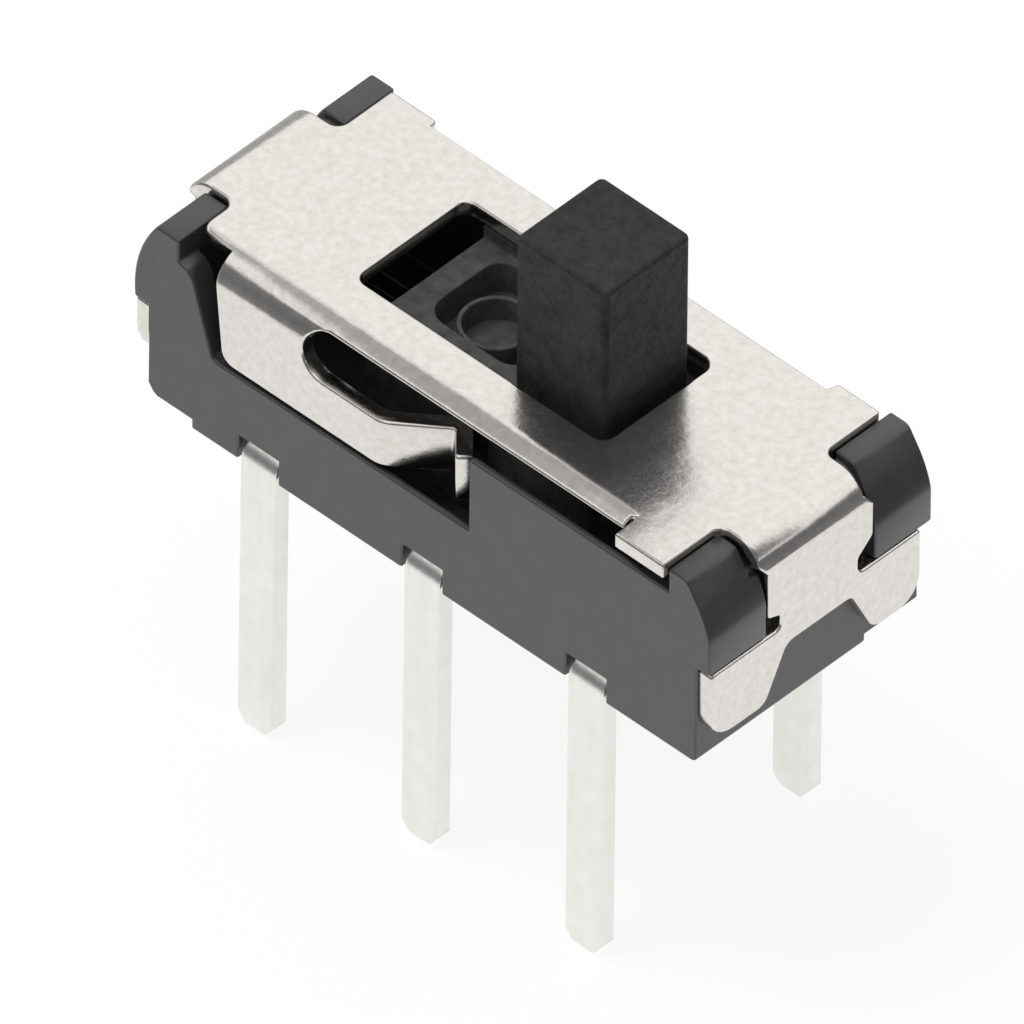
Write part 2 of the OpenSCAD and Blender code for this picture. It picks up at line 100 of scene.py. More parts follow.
def fillet(points, radius, steps=7):
    """Rounds corners: each point becomes an arc that touches both of its edges. The arc's centre
    lies on the corner's bisector, at radius / sin(half the corner's angle) from the point."""
    p = np.asarray(points, float)
    r = np.broadcast_to(np.asarray(radius, float), len(p))[:, None]
    back = np.roll(p, 1, 0) - p
    back /= np.linalg.norm(back, axis=1, keepdims=True)
    ahead = np.roll(p, -1, 0) - p
    ahead /= np.linalg.norm(ahead, axis=1, keepdims=True)
    half = np.arccos(np.clip((back * ahead).sum(1, keepdims=True), -1, 1)) / 2
    bisector = back + ahead
    bisector /= np.maximum(np.linalg.norm(bisector, axis=1, keepdims=True), 1e-9)
    centre = p + bisector * r / np.sin(half)
    spoke = p + back * r / np.tan(half) - centre
    side = -np.sign(back[:, :1] * ahead[:, 1:] - back[:, 1:] * ahead[:, :1])
    turn = side * (np.pi - 2 * half) * np.linspace(0, 1, steps)
    x = centre[:, :1] + spoke[:, :1] * np.cos(turn) - spoke[:, 1:] * np.sin(turn)
    y = centre[:, 1:] + spoke[:, :1] * np.sin(turn) + spoke[:, 1:] * np.cos(turn)
    ring = np.column_stack([x.ravel(), y.ravel()])
    apart = np.linalg.norm(ring - np.roll(ring, 1, 0), axis=1) > same_place
    return ring[apart]


print(len(fillet(rect(0, 2, 0, 1), 0.2)), "points round a rectangle with rounded corners")


# %% Inside or outside an outline
def inside(points, outline):
    """Even-odd rule: a point is inside if a level ray from it crosses the outline an odd number
    of times."""
    x, y = points[:, 0, None], points[:, 1, None]
    a, b = outline, np.roll(outline, -1, 0)
    rise = np.where(b[:, 1] == a[:, 1], 1.0, b[:, 1] - a[:, 1])
    straddles = (a[:, 1] > y) != (b[:, 1] > y)
    crossing = a[:, 0] + (y - a[:, 1]) * (b[:, 0] - a[:, 0]) / rise
    return (straddles & (x < crossing)).sum(1) % 2 == 1


print("inside, outside:", inside(np.array([[0.5, 0.5], [2.0, 0.5]]), rect(0, 1, 0, 1)))


# %% [markdown]
# ## A solid from stacked layers
# A moulding with posts, rails and notches could be put together with boolean modifiers, but those
# leave slivers where faces lie in one plane. Here all outlines are laid over each other once, and
# the plane is cut into triangles along every one of them. Each layer of the solid then only says
# which triangles it fills, so neighbouring layers always share their corners.

# %% Lay outlines over each other
def overlay(outlines, lines=()):
    """Cuts the plane into triangles along every outline and line. Returns points and triangles."""
    points, edges = [], []
    for ring in outlines:
        n, first = len(ring), len(points)
        points += [Vector(p) for p in ring]
        edges += [(first + i, first + (i + 1) % n) for i in range(n)]
    for line in lines:
        edges.append((len(points), len(points) + 1))
        points += [Vector(p) for p in line]
    found, _, faces = delaunay_2d_cdt(points, edges, [], 0, 1e-6, False)[:3]
    xy = np.array([tuple(p) for p in found])
    tri = np.array([tuple(f) for f in faces])
    a, b, c = xy[tri[:, 0]], xy[tri[:, 1]], xy[tri[:, 2]]
    area = (b[:, 0] - a[:, 0]) * (c[:, 1] - a[:, 1]) - (b[:, 1] - a[:, 1]) * (c[:, 0] - a[:, 0])
    tri[area < 0] = tri[area < 0][:, ::-1]
    return xy, tri[np.abs(area) > 1e-9]


print(len(overlay([rect(0, 2, 0, 2), rect(1, 3, 1, 3)])[1]), "triangles for two squares that overlap")


# %% Build a solid from layers
def stack(shapes, cuts, layers, place, lines=()):
    """Solid of flat layers. Layer k fills the height from cuts[k] to cuts[k + 1] where its mask is
    true. A flat face lies where a triangle is in one layer and not in the next. A wall stands on
    each edge whose triangle is in the layer and whose neighbour isn't. place turns arrays of
    (across, along, height) into x, y and z."""
    xy, tri = overlay(shapes.values(), lines)
    middle = xy[tri].mean(1)
    masks = {name: inside(middle, ring) for name, ring in shapes.items()}
    filled = np.array(layers(masks), bool)
    n = len(xy)
    edge = tri[:, [0, 1, 1, 2, 2, 0]].reshape(-1, 2)
    there, back = edge[:, 0] * n + edge[:, 1], edge[:, 1] * n + edge[:, 0]
    empty = np.zeros((1, len(tri)), bool)
    above, below = np.vstack([filled, empty]), np.vstack([empty, filled])
    flat, walls = [], []
    for k in range(len(cuts)):
        flat.append(tri[below[k] & ~above[k]] + k * n)
        flat.append(tri[above[k] & ~below[k]][:, ::-1] + k * n)
    for k in range(len(cuts) - 1):
        used = np.repeat(filled[k], 3)
        rim = edge[used & ~np.isin(back, there[used])]
        walls.append(np.column_stack([rim, rim[:, ::-1] + n]) + k * n)
    flat, walls = np.vstack(flat), np.vstack(walls)
    kept, index = np.unique(np.concatenate([flat.ravel(), walls.ravel()]), return_inverse=True)
    u, v = xy[kept % n].T
    corners = np.column_stack(place(u, v, np.asarray(cuts, float)[kept // n]))
    triangles = index[:flat.size].reshape(-1, 3)
    return corners, triangles.tolist() + index[flat.size:].reshape(-1, 4).tolist()


def level(u, v, w):
    """Outlines lie level and the layers go up."""
    return u, v, w


def upright(u, v, w):
    """Outlines stand upright and the layers go back."""
    return u, w, v


cube = stack({"square": rect(0, 1, 0, 1)}, [0, 1], lambda m: [m["square"]], level)
print(len(cube[0]), "corners and", len(cube[1]), "faces on a cube")


# %% [markdown]
# ## From numbers to a finished mesh
# The triangles of one flat face are joined into a single face first, so that the Bevel modifier
# finds only true edges. Real moulded or punched edges always have a small radius, and that radius
# is what catches the light. Weighted normals then keep the flat faces looking flat.

# %% Put a mesh into the scene
def piece_of(name, mesh):
    """An object at the origin that holds the mesh."""
    piece = bpy.data.objects.new(name, mesh)
    bpy.context.scene.collection.objects.link(piece)
    return piece


# %% Make, tidy and soften a mesh
flat_within = radians(0.8)
edge_from = radians(32)


def solid(name, corners, faces, edge_radius, softness=None, segments=3, merge=2e-5):
    """Mesh object from corners in mm and faces. Corners closer than merge become one, coplanar
    faces are joined and true edges are rounded. softness gives each corner a share of the radius,
    and an edge takes the mean of its two ends."""
    mesh = bpy.data.meshes.new(name)
    mesh.from_pydata(np.asarray(corners) * MM, [], faces)
    share = np.ones(len(corners)) if softness is None else softness
    mesh.attributes.new("share", "FLOAT", "POINT").data.foreach_set("value", share)
    bm = bmesh.new()
    bm.from_mesh(mesh)
    bmesh.ops.remove_doubles(bm, verts=bm.verts, dist=merge * MM)
    bmesh.ops.dissolve_limit(bm, angle_limit=flat_within, verts=bm.verts, edges=bm.edges)
    bmesh.ops.recalc_face_normals(bm, faces=bm.faces)
    open_edges = sum(not e.is_manifold for e in bm.edges)
    true_edge = np.array([e.calc_face_angle(0) > edge_from for e in bm.edges])
    volume = abs(bm.calc_volume()) / MM ** 3
    bm.to_mesh(mesh)
    bm.free()
    ends = np.empty(2 * len(mesh.edges), int)
    mesh.edges.foreach_get("vertices", ends)
    share = np.empty(len(mesh.vertices))
    mesh.attributes["share"].data.foreach_get("value", share)
    weight = share[ends.reshape(-1, 2)].mean(1) * true_edge
    mesh.attributes.new("bevel_weight_edge", "FLOAT", "EDGE").data.foreach_set("value", weight)
    mesh.shade_smooth()
    piece = piece_of(name, mesh)
    bevel = piece.modifiers.new("edge radius", "BEVEL")
    bevel.width = edge_radius * MM
    bevel.segments = segments
    bevel.limit_method = "WEIGHT"
    bevel.use_clamp_overlap = False
    soften = piece.modifiers.new("flat faces stay flat", "WEIGHTED_NORMAL")
    soften.keep_sharp = True
    print(f"{name}: {len(mesh.polygons)} faces, {volume:.2f} mm3, {open_edges} open edges")
    return piece


# %% [markdown]
# ## Measures that several pieces share
# They could be typed in, but then a piece could drift from the model. So they are read from the
# nodes' boxes wherever those give them, and what only one piece needs is named where it is made.

# %% Shared measures
base_low, base_high = (np.array(c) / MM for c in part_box("base_housing"))
steel_low, steel_high = (np.array(c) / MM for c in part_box("steel_cover"))
slide_low, slide_high = (np.array(c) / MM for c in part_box("slider_knob"))
half_w = base_high[1]
cover_top = steel_high[2]
post_bottom = cover_top - 1.35
half_len = 4.25
post_x = 3.8
print("base from", base_low.round(2), "to", base_high.round(2), "and cover's top at", cover_top.round(2))


# %% [markdown]
# ## Moulded base
# The real base is one moulding in dark grey plastic: a tray with a stepped near wall, two end
# walls and four corner posts that overhang the ends and hook the cover's tongues. It is drawn as
# seen from the near side and built up in layers from the near face to the far face.

# %% Heights and outer lines of the base
floor_top = 0.33
tray_top = cover_top - 0.2
right_top = cover_top - 0.1
left_top = cover_top - 0.08
step_top = cover_top - 0.47
low_wall = cover_top - 1.55
high_wall = cover_top - 0.46
shoulder = low_wall + 1.16
right_out = base_high[0]
left_out = -base_low[0]
bulge = 0.23
print(f"floor {floor_top}, low wall {low_wall:.2f}, high wall {high_wall:.2f}, posts {right_top:.2f}")


# %% Outline of a corner post
def post_outline(top, r, out, knee=90):
    """A post's upper part from post_x to the radius r that bulges past the end wall, with the
    underside flat and its outer tip cut at out. One of the arc's points is at the step's height, so
    that the step starts on it. Above the knee's angle the outline runs straight on, along the
    arc's tangent, to a rounded brow at the top."""
    cx, cz = half_len + bulge - r, post_bottom + 0.2
    high = min(knee, np.degrees(np.arcsin((top - cz) / r)))
    low = -np.degrees(np.arcsin(0.2 / r))
    step = np.degrees(np.arcsin((step_top - cz) / r))
    curve = np.vstack([arc(cx, cz, r, low, step, 15),
                       arc(cx, cz, r, step, high, 1 + round((high - step) / 2))[1:]])
    brow = [curve[-1, 0] - (top - curve[-1, 1]) * np.tan(radians(high)), top]
    curve[:, 0] = np.minimum(curve[:, 0], out)
    if high < knee:
        return np.vstack([[post_x, post_bottom], curve, [post_x, top]])
    ring = np.vstack([[post_x, post_bottom], curve, brow, [post_x, top]])
    return fillet(ring, np.where(np.arange(len(ring)) == len(ring) - 2, 0.12, 0))


def mirrored(ring):
    """The outline turned left to right, still anticlockwise."""
    return (ring * [-1, 1])[::-1]


print(len(post_outline(right_top, 1.5, right_out, 33)), "points round a right post")

# %% Outlines of walls, ends and steps
bottom_r = 0.07
lift_z = 0.13
lift_run = 0.68
past_end = half_len + 0.3
block_top = post_bottom + 0.05
high_from, low_from = 0.71, -3.26
shapes = {
    "front": fillet([[-half_len, 0], [half_len, 0], [half_len, high_wall], [high_from, high_wall],
                     [high_from, low_wall], [low_from, low_wall], [-3.57, shoulder - 0.14],
                     [-3.66, shoulder - 0.04], [-post_x, shoulder], [-half_len, shoulder]],
                    [bottom_r, bottom_r, 0, 0, 0, 0.12, 0, 0, 0, 0]),
    "pocket": rect(-3.1, 3.3, low_wall - 0.5, cover_top),
    "tray": fillet(rect(-half_len, half_len, 0, floor_top), [bottom_r, bottom_r, 0, 0]),
    "left_end": fillet(rect(-half_len, -post_x, 0, tray_top), [bottom_r, 0, 0, 0.24]),
    "right_end": fillet(rect(post_x, half_len, 0, tray_top), [0, bottom_r, 0.4, 0]),
    "left_block": fillet(rect(-half_len, -post_x, 0, block_top), [bottom_r, 0, 0, 0]),
    "right_block": fillet(rect(post_x, half_len, 0, block_top), [0, bottom_r, 0, 0]),
    "far": rect(-post_x, post_x, 0, high_wall),
    "rail": rect(-post_x, post_x, 0, floor_top + 0.28),
    "left_post": mirrored(post_outline(left_top, 1.85, left_out)),
    "right_post": post_outline(right_top, 1.5, right_out, 33),
    "left_step": rect(-past_end, -post_x, step_top, cover_top),
    "right_step": rect(post_x, past_end, step_top, cover_top),
    "left_lift": np.array([[-past_end, -0.1], [-half_len + lift_run, -0.1],
                           [-half_len + lift_run, lift_z], [-half_len + 0.14, lift_z],
                           [-half_len + 0.08, lift_z + 0.035], [-half_len, lift_z + 0.14],
                           [-past_end, 0.5]]),
    "right_lift": rect(half_len - lift_run, past_end, -0.1, lift_z),
}
print(len(shapes), "outlines for the base's body")

# %% Outlines of the slots for the pins
pitch = 2.54
pin_w, pin_t = 0.55, 0.25
leg_half = pin_w / 2 + 0.035
pad_half = 0.5
leg_top, leg_bottom = floor_top + 0.035, floor_top - pin_t
columns = {"left": -pitch, "middle": 0.0, "right": pitch}
for column, x in columns.items():
    shapes["notch_" + column] = rect(x - leg_half, x + leg_half, -0.1, leg_top)
    shapes["leg_" + column] = rect(x - leg_half, x + leg_half, leg_bottom, leg_top)
    shapes["pad_" + column] = rect(x - pad_half, x + pad_half, leg_bottom, floor_top)
print(len(shapes), "outlines with the slots")


# %% What fills each layer of the base
def base_layers(m):
    """Which outlines fill each layer, from the near face to the far face. '|' joins two of them
    and '& ~' cuts one away."""
    notches, legs, pads = (m[kind + "left"] | m[kind + "middle"] | m[kind + "right"]
                           for kind in ("notch_", "leg_", "pad_"))
    left_kept, right_kept = ~m["left_lift"], ~m["right_lift"]
    posts = m["left_post"] | m["right_post"]
    blocks = m["left_block"] | m["right_block"]
    ends = m["left_end"] | m["right_end"]
    stepped = posts & ~m["left_step"] & ~m["right_step"]
    tray = m["tray"]
    posted = tray | blocks | posts
    railed = posted | m["rail"]
    far_wall = m["far"] | blocks | tray
    near_wall = (m["front"] | blocks | posts) & ~notches & left_kept
    inner = (tray | ends | stepped | blocks) & ~pads
    middle = (tray | ends) & ~pads
    return [
        near_wall,
        near_wall & ~m["pocket"],
        railed & ~legs & left_kept,
        posted & ~legs & left_kept,
        posted & ~pads & left_kept,
        inner & left_kept,
        inner,
        middle,
        tray | ends,
        middle,
        posted & ~pads,
        posted & ~pads & right_kept,
        posted & ~legs & right_kept,
        railed & ~legs & right_kept,
        (far_wall | posts) & ~notches & right_kept,
        (far_wall | m["right_post"]) & ~notches & right_kept,
    ]


print(len(shapes), "outlines go into the layers")

# %% Put the base together
lip = 0.1
wall_in, rail_in, lift_in = 1.48, 1.06, 0.95
pad_in, pad_out = 0.3, 1.0
near_post, far_post = 0.99, 0.89
near_step = 0.87
left_far_face = 1.7
base_cuts = [-half_w, lip - half_w, -wall_in, -rail_in, -pad_out, -near_post, -lift_in, -near_step,
             -pad_in, pad_in, far_post, lift_in, pad_out, rail_in, wall_in, left_far_face, half_w]
corners, faces = stack(shapes, base_cuts, base_layers, upright)
base = solid("moulded_base", corners, faces, 0.03)
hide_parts("base_housing")
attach(base, "housing")


# %% [markdown]
# ## Steel cover
# The real cover is one stamping: a flat blank with a window and a slot is punched from sheet
# steel and then folded. It could be modelled in its folded shape, but then every bend would have
# to be fitted by hand. So it is made the real way: the blank is drawn flat, cut along every fold,
# given its thickness, and then each point is carried round the folds by a formula.

# %% Fold lines
sheet = 0.2
inner_r = 0.2
plate_near = 1.49
flap_face = 1.79
mid_r = inner_r + sheet / 2
bend_run = mid_r * np.pi / 2
under = cover_top - sheet
fold_z = cover_top - inner_r - sheet
fold_right = steel_high[0] - inner_r - sheet
fold_left = -steel_low[0] - inner_r - sheet
fold_near = flap_face - inner_r - sheet
print(f"fold lines at x {fold_right:.2f} and {-fold_left:.2f}, near fold at y {-fold_near:.2f}")

# %% The end tongues
neck_z = cover_top - 0.3
lobe_top = post_bottom - 0.03
lobe_low = cover_top - 2.4
neck_near, neck_far = 0.96, 0.72
tongue_near, tongue_far = 0.84, 0.86


def tongue(fold, r):
    """Corners and radii of one end tongue on the blank, from its near neck to its far neck: the
    neck, the relief notches and two hooked lobes. Each corner's place along the blank is the fold
    line, the bend's run and the corner's depth below the bend added up."""
    def z(height):
        return fold + bend_run + (fold_z - height)

    step = lobe_low + 0.72
    return np.array([
        [z(neck_z), -neck_near, 0], [z(neck_z - 0.14), -tongue_near, 0],
        [z(lobe_top + 0.27), -tongue_near, 0.06], [z(lobe_top + 0.2), -tongue_near + 0.2, 0.07],
        [z(lobe_top), -tongue_near + 0.2, 0.07], [z(lobe_top), -1.76, 0.05], [z(lobe_low), -1.76, r],
        [z(lobe_low), -0.88, 0.2], [z(step), -0.52, 0.16], [z(step), 0.52, 0.16],
        [z(lobe_low), 0.88, 0.2], [z(lobe_low), 1.63, r], [z(lobe_top), 1.63, 0.05],
        [z(lobe_top), tongue_far - 0.24, 0.1], [z(lobe_top + 0.23), tongue_far - 0.24, 0.1],
        [z(lobe_top + 0.45), tongue_far, 0.1], [z(neck_z - 0.14), tongue_far, 0],
        [z(neck_z), neck_far, 0]])


print(len(tongue(fold_right, 0.36)), "corners on an end tongue")

# %% Slot and flap
arm_top = cover_top - 0.8
arm_low = cover_top - 1.49
slot_top = fold_near + mid_r * np.pi / 4
slot_bottom = fold_near + bend_run + (fold_z - arm_top)
flap_bottom = fold_near + bend_run + (fold_z - arm_low)
slot_r = (slot_bottom - slot_top) / 2
slot_start = -1.9 + slot_r
print(f"the slot is {2 * slot_r:.2f} mm high on the flat blank")

# %% [markdown]
# ## Spring arm
# Under the slot the flap ends in an arm whose bent nose clicks into two notches in the slider's
# side. It is the same sheet as the cover, so it is no piece of its own. A curve drawn by hand
# could change the strip's length, and adding up short steps along a heading can't.

# %% Path of the spring arm
arm_bend_x = -0.7
arm_in, arm_out = np.radians(38), np.radians(47)
arm_bend_r = 0.3
nose_r = 0.16
reach = 0.5
tail = 0.41
arm_start = arm_bend_x - arm_bend_r * np.tan(arm_in / 2)
run_in = (reach - nose_r * (1 - np.cos(arm_in))) / np.sin(arm_in) - arm_bend_r * np.tan(arm_in / 2)
stations = np.cumsum([0, arm_bend_r * arm_in, run_in, nose_r * (arm_in + arm_out), tail])
travel = np.linspace(0, stations[-1], 800)
heading = np.interp(travel, stations, [0, arm_in, arm_in, -arm_out, -arm_out])
step_x = np.diff(travel, prepend=0) * np.cos(heading)
step_y = np.diff(travel, prepend=0) * np.sin(heading)
arm_x, arm_y = np.cumsum(step_x), np.cumsum(step_y)
print(f"the arm runs {stations[-1]:.2f} mm and its nose reaches {arm_y.max():.2f} mm inward")

# %% [markdown]
# ## Blank, fold lines and folding
# The outline runs round the near side, the right tongue, the far side and the left tongue. A bend
# is only as round as its number of cuts. Those could be loop cuts, but lines laid over the
# outline are cut in the same step.

# %% Outline of the whole blank
corner_r = 0.15
notch_x = 3.74
notch_right = post_x - 0.01
flap_x = 3.24
tab_x = 3.04
tab_near = plate_near + 0.39
tab_far = plate_near + 0.1
far_tab_x, far_tab = 3.14, plate_near + 0.15
slit_x, slit_end = tab_x - 0.08, plate_near
arm_end = arm_start + stations[-1]
near_side = [[-notch_x, -neck_near, corner_r], [-notch_x, -plate_near, corner_r],
             [-flap_x, -plate_near, 0], [-flap_x, -fold_near - bend_run, 0],
             [-flap_x + 0.11, -flap_bottom, 0.2], [arm_end, -flap_bottom, 0.05],
             [arm_end, -slot_bottom, 0.05], [slot_start - slot_r, -slot_bottom, slot_r * 0.999],
             [slot_start - slot_r, -slot_top, slot_r * 0.999]]
right_side = [[slit_x, -slot_top, 0], [slit_x, -slit_end, 0], [tab_x, -slit_end, 0],
              [tab_x, -tab_near, 0], [notch_right, -tab_near, 0], [notch_right, -neck_near, corner_r]]
far_side = [[notch_right, neck_far, corner_r], [notch_right, far_tab, 0.04],
            [far_tab_x, far_tab, 0.05], [far_tab_x - 0.04, plate_near, 0],
            [-tab_x, plate_near, 0], [-tab_x, tab_far, 0.04],
            [-notch_x, tab_far, 0.04], [-notch_x, neck_far, corner_r]]
left_tongue = (tongue(fold_left, 0.62) * [-1, 1, 1])[::-1]
blank = np.vstack([near_side, right_side, tongue(fold_right, 0.36), far_side, left_tongue])
blank = fillet(blank[:, :2], blank[:, 2])
window = fillet(rect(-1.93, 1.93, -0.9, 0.9), 0.16)
print(len(blank), "points round the blank")

# %% Lines to bend it along
past_neck = 1.2
ends = np.concatenate([fold_right + bend_run * np.linspace(0, 1, 11),
                       -fold_left - bend_run * np.linspace(0, 1, 11)])
folds = [[(x, -past_neck), (x, past_neck)] for x in ends]
tab_run = plate_near - fold_near
near_steps = np.concatenate([[0, tab_run * 0.5], np.linspace(tab_run, bend_run, 9)])
folds += [[(-3.6, -fold_near - s), (tab_x if s <= tab_run else slit_x, -fold_near - s)]
          for s in near_steps]
folds += [[(x, -fold_near), (x, -slit_end)] for x in (slit_x, tab_x)]
arm_cuts = np.concatenate([np.linspace(stations[0], stations[1], 8),
                           np.linspace(stations[2], stations[3], 14)])
folds += [[(arm_start + s, -flap_bottom - 0.1), (arm_start + s, -slot_bottom + 0.1)]
          for s in arm_cuts]
print(len(folds), "fold lines")


# %% Round one fold
def roll(past, height):
    """A strip that turns down: past is the distance beyond the fold line along the sheet's middle
    and height the distance above its underside. The turn's angle grows evenly over the bend and
    stops at a quarter turn. Returns how far out and how high each point ends up."""
    angle = np.clip(past / mid_r, 0, np.pi / 2)
    after = np.maximum(past - bend_run, 0)
    radius = inner_r + height
    out = radius * np.sin(angle) + after * np.cos(angle)
    up = fold_z + radius * np.cos(angle) - after * np.sin(angle)
    return out, up


print("a quarter turn ends at", np.round(roll(bend_run, sheet), 2))


# %% Where each point of the blank ends up
def fold(u, v, w):
    """Carries the flat blank round its three folds, at both ends and along the near side, and along the
    spring arm's path.
    """
    x, y, z = u.copy(), v.copy(), under + w
    right, left = u > fold_right, u < -fold_left
    out, up = roll(u[right] - fold_right, w[right])
    x[right], z[right] = fold_right + out, up
    out, up = roll(-u[left] - fold_left, w[left])
    x[left], z[left] = -fold_left - out, up
    near = (v < -fold_near) & (u < slit_x + same_place) & ~left
    out, up = roll(-v[near] - fold_near, w[near])
    y[near], z[near] = -fold_near - out, up
    arm = near & (u > arm_start) & (v < -slot_bottom + 0.01)
    s = u[arm] - arm_start
    lean = np.interp(s, travel, heading)
    outward = w[arm] - sheet / 2
    middle = -fold_near - inner_r - sheet / 2
    x[arm] = arm_start + np.interp(s, travel, arm_x) + outward * np.sin(lean)
    y[arm] = middle + np.interp(s, travel, arm_y) - outward * np.cos(lean)
    return x, y, z


arm_edge = fold(np.zeros(1), np.array([-flap_bottom]), np.zeros(1))
print("a point on the arm's lower edge ends up at", np.ravel(arm_edge).round(2))

# %% Fold the blank
flat, faces = stack({"blank": blank, "window": window}, [0, sheet],
                    lambda m: [m["blank"] & ~m["window"]], level, folds)
corners = np.column_stack(fold(*flat.T))
rim_share = np.where(flat[:, 2] > 0, 1.0, 0.3)
cover = solid("folded_cover", corners, faces, 0.035, rim_share, merge=0.005)
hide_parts("steel_cover")
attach(cover, "housing")


# %% [markdown]
# ## Slider and knob
# The slider is one black moulding. What shows through the window is its flat top, with a curved
# groove and a round recess, and the square knob. Under it are the pockets for the contact
# springs. All its walls are upright, so it could be cut from a block, but layers stacked from its
# underside to the knob's top need no cutting.

# %% Outlines of the slider
rest_x = 1.04
slider_y = 1.02
slider_half = post_x - rest_x - 0.06
slider_top = cover_top - 0.42
knob_half = 0.7
ring_x = rest_x - 1.63
detent_x, detent_r, detent_deep = 1.04, 0.3, 0.15
pocket_half, pocket_in, pocket_out = 1.46, 0.42, 0.88
detent_y = detent_deep - slider_y - detent_r
slider_shapes = {
    "body": rect(rest_x - slider_half, rest_x + slider_half, -slider_y, slider_y),
    "middle": rect(rest_x - 3, rest_x + 3, -0.9, 0.9),
    "knob": fillet(rect(rest_x - knob_half, rest_x + knob_half, -knob_half, knob_half), 0.09),
    "groove": fillet(rect(ring_x - 0.71, ring_x + 0.71, -0.42, 0.82), 0.28, 9),
    "ring": circle(ring_x, 0, 0.45, 48),
    "recess": circle(ring_x, 0, 0.39, 48),
    "notch_right": circle(rest_x + detent_x, detent_y, detent_r, 36),
    "notch_left": circle(rest_x - detent_x, detent_y, detent_r, 36),
    "near_pocket": rect(rest_x - pocket_half, rest_x + pocket_half, -pocket_out, -pocket_in),
    "far_pocket": rect(rest_x - pocket_half, rest_x + pocket_half, pocket_in, pocket_out),
}
print(len(slider_shapes), "outlines for the slider")

# %% Layers of the slider
pocket_top = slide_low[2] + 0.55
slider_cuts = [slide_low[2], pocket_top, arm_low - 0.06, slider_top - 0.45, slider_top - 0.33,
               arm_top + 0.06, slider_top, under - 0.04, slide_high[2]]


def slider_layers(m):
    """Pockets, plain body, detent notches, groove, recess, side shoulders and knob."""
    notched = m["body"] & ~m["notch_right"] & ~m["notch_left"]
    groove = m["groove"] & ~m["ring"]
    return [
        m["body"] & ~m["near_pocket"] & ~m["far_pocket"],
        m["body"],
        notched,
        notched & ~groove,
        notched & ~groove & ~m["recess"],
        m["body"] & ~groove & ~m["recess"],
        (m["body"] & ~m["middle"]) | m["knob"],
        m["knob"],
    ]


corners, faces = stack(slider_shapes, slider_cuts, slider_layers, level)
knob_share = np.where(corners[:, 2] > under, 1.0, 0.3)
slider = solid("slider_with_knob", corners, faces, 0.06, knob_share, 4)
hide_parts("slider_knob")
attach(slider, "slider")


# %% [markdown]
# ## Strips along a path
# Pins and contact springs are both cut from flat strip and then bent. A bent strip could be a
# curve with a bevel, but then its tip couldn't narrow in width and thickness by different shares.
# Here a flat section is carried along a path, so one function makes all eight pieces.

# %% Carry a section along a path
around, sharpness = 36, 10


def strip(name, path, width, thickness, length_axis, offset):
    """A strip along path, which holds (along, up) points. Its section is a superellipse: half the
    width times a power of the cosine, by half the thickness times a power of the sine. Each end
    is closed by triangles that meet in its middle."""
    run = np.gradient(path, axis=0)
    run /= np.linalg.norm(run, axis=1, keepdims=True)
    normal = np.column_stack([-run[:, 1], run[:, 0]])
    a = np.linspace(0, 2 * np.pi, around, endpoint=False)
    power = 2 / sharpness
    side = np.sign(np.cos(a)) * np.abs(np.cos(a)) ** power
    rise = np.sign(np.sin(a)) * np.abs(np.sin(a)) ** power
    wide = offset + np.outer(width / 2, side)
    along = path[:, :1] + np.outer(thickness / 2 * normal[:, 0], rise)
    up = path[:, 1:] + np.outer(thickness / 2 * normal[:, 1], rise)
    rings = np.stack([wide, along, up] if length_axis == "y" else [along, wide, up], axis=-1)
    rows = len(path)
    grid = np.arange(rows * around).reshape(rows, around)
    turned = np.roll(grid, -1, 1)
    quads = np.stack([grid[:-1], turned[:-1], turned[1:], grid[1:]], -1).reshape(-1, 4)
    tips = np.array([rings[0].mean(0), rings[-1].mean(0)])
    start = np.column_stack([turned[0], grid[0], np.full(around, rows * around)])
    end = np.column_stack([grid[-1], turned[-1], np.full(around, rows * around + 1)])
    mesh = bpy.data.meshes.new(name)
    corners = np.vstack([rings.reshape(-1, 3), tips]) * MM
    mesh.from_pydata(corners, [], quads.tolist() + start.tolist() + end.tolist())
    bm = bmesh.new()
    bm.from_mesh(mesh)
    bmesh.ops.recalc_face_normals(bm, faces=bm.faces)
    bm.to_mesh(mesh)
    bm.free()
    mesh.shade_smooth()
    return piece_of(name, mesh)


print("a strip's section has", around, "points")

# %% [markdown]
# ## Pins
# Each pin is a strip of plated brass that runs out of the base's floor, turns down and ends in a
# tip that is pressed narrower, so that it finds its hole in the board. All six are made by one
# function, which reads from the model how long each is.

# %% The six pins
leg_z = floor_top - pin_t / 2
pin_y = half_w - pin_t / 2
turn_r = 0.165
tip_down = np.array([0.24, 0.2, 0.17, 0.13, 0.09, 0.06, 0.035, 0.015, 0.004, 0])
tip_width = np.interp(tip_down, [0, 0.004, 0.015, 0.035, 0.17, 0.2], [0.3, 0.42, 0.5, 0.58, 0.94, 1])
tip_thickness = np.interp(tip_down, [0, 0.004, 0.015, 0.06, 0.09], [0.4, 0.55, 0.7, 0.94, 1])


